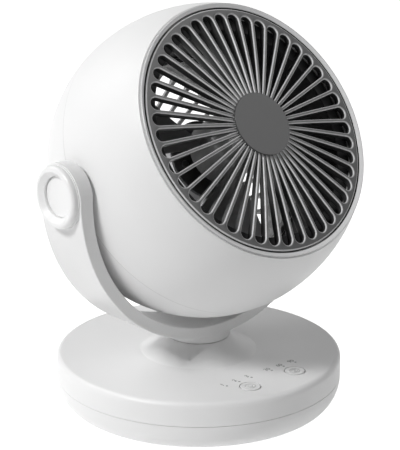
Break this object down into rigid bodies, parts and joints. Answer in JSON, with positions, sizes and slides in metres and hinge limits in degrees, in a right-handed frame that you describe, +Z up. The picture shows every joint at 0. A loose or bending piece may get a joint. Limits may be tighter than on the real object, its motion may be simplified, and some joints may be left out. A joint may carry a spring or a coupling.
{
  "type": "air circulator fan",
  "caption": "Compact desk air circulator: ball-shaped head with radial grilles tilts in a U-shaped yoke that swings on a round weighted base with two buttons.",
  "frame": {"origin": "on the table under the middle of the base", "axes": "+Z up, air leaves towards -Y, +X to the right seen from behind the fan's front"},
  "size_m": [0.2448, 0.2078, 0.2834],
  "materials": {
    "white_plastic": "fine satin texture",
    "yoke_plastic": "satin",
    "cap_plastic": "soft gloss",
    "button_plastic": "soft gloss",
    "grille_plastic": "satin",
    "trim_plastic": "satin",
    "vent_plastic": "satin",
    "duct_plastic": "matt",
    "fan_plastic": "smooth",
    "pivot_plastic": "matt acetal",
    "acetal": "smooth",
    "foot_rubber": "matt",
    "screw_steel": "zinc plated",
    "motor_steel": "drawn",
    "winding": "enamelled copper on steel",
    "magnet": "ground",
    "ballast_iron": "rough",
    "board_green": "solder mask",
    "electronics_black": "matt",
    "light_clear": "clear acrylic",
    "led_resin": "cast resin"
  },
  "bodies": {
    "base": {"base_pan": "white_plastic", "rubber_foot_1": "foot_rubber", "rubber_foot_2": "foot_rubber", "rubber_foot_3": "foot_rubber", "rubber_foot_4": "foot_rubber", "base_screws": "screw_steel", "ballast_plate": "ballast_iron", "ballast_screws": "screw_steel", "base_cover": "white_plastic", "power_switch": "electronics_black", "swing_switch": "electronics_black", "power_light_guide": "light_clear", "swing_light_guide": "light_clear", "indicator_leds": "led_resin", "control_board": "board_green", "board_screws": "screw_steel", "power_inlet": "electronics_black", "swing_motor": "motor_steel", "swing_motor_screws": "screw_steel", "swivel_bush": "acetal"},
    "pinion": {"swing_pinion": "acetal"},
    "yoke": {"swivel_post": "screw_steel", "swing_gear": "acetal", "thrust_washer": "pivot_plastic", "post_nut": "screw_steel", "post_screws": "screw_steel", "yoke_strap": "yoke_plastic", "yoke_strip": "yoke_plastic", "pivot_cap_left": "cap_plastic", "pivot_cap_right": "cap_plastic", "pivot_disc_left": "cap_plastic", "pivot_disc_right": "cap_plastic"},
    "head": {"trunnion_left": "pivot_plastic", "trunnion_right": "pivot_plastic", "pivot_bolts": "screw_steel", "friction_washers": "pivot_plastic", "front_shell": "white_plastic", "rear_shell": "white_plastic", "trim_ring": "trim_plastic", "front_grille": "grille_plastic", "grille_hub": "grille_plastic", "rear_grille": "vent_plastic", "duct_ring": "duct_plastic", "duct_screws": "screw_steel", "motor_bracket": "duct_plastic", "motor_screws": "screw_steel", "motor_cap": "motor_steel", "motor_housing": "motor_steel", "front_bearing": "motor_steel", "rear_bearing": "motor_steel", "motor_stator": "winding"},
    "fan": {"motor_rotor": "magnet", "motor_shaft": "motor_steel", "impeller": "fan_plastic", "blade_nut": "fan_plastic"},
    "power_button": {"power_button": "button_plastic"},
    "swing_button": {"swing_button": "button_plastic"}
  },
  "joints": [
    {"name": "yoke_swing", "type": "hinge", "parent": "base", "child": "yoke", "pos_m": [0, 0, 0.04], "axis": [0, 0, 1], "range_deg": [-45, 45]},
    {"name": "pinion_spin", "type": "hinge", "parent": "base", "child": "pinion", "pos_m": [0, 0.042, 0.0265], "axis": [0, 0, 1], "range_deg": [-135, 135]},
    {"name": "head_tilt", "type": "hinge", "parent": "yoke", "child": "head", "pos_m": [0, 0, 0.1714], "axis": [-1, 0, 0], "range_deg": [-47.8, 57.2]},
    {"name": "fan_spin", "type": "hinge", "parent": "head", "child": "fan", "pos_m": [0, 0, 0.1714], "axis": [0, -0.8406, 0.5417], "continuous": true},
    {"name": "power_press", "type": "slide", "parent": "base", "child": "power_button", "axis": [0, 0, -1], "range_m": [0, 0.0006], "stiffness_N_per_m": 1200, "springref_m": -0.0004},
    {"name": "swing_press", "type": "slide", "parent": "base", "child": "swing_button", "axis": [0, 0, -1], "range_m": [0, 0.0006], "stiffness_N_per_m": 1200, "springref_m": -0.0004}
  ],
  "couplings": [
    {"joint": "pinion_spin", "follows": "yoke_swing", "ratio": -3}
  ]
}
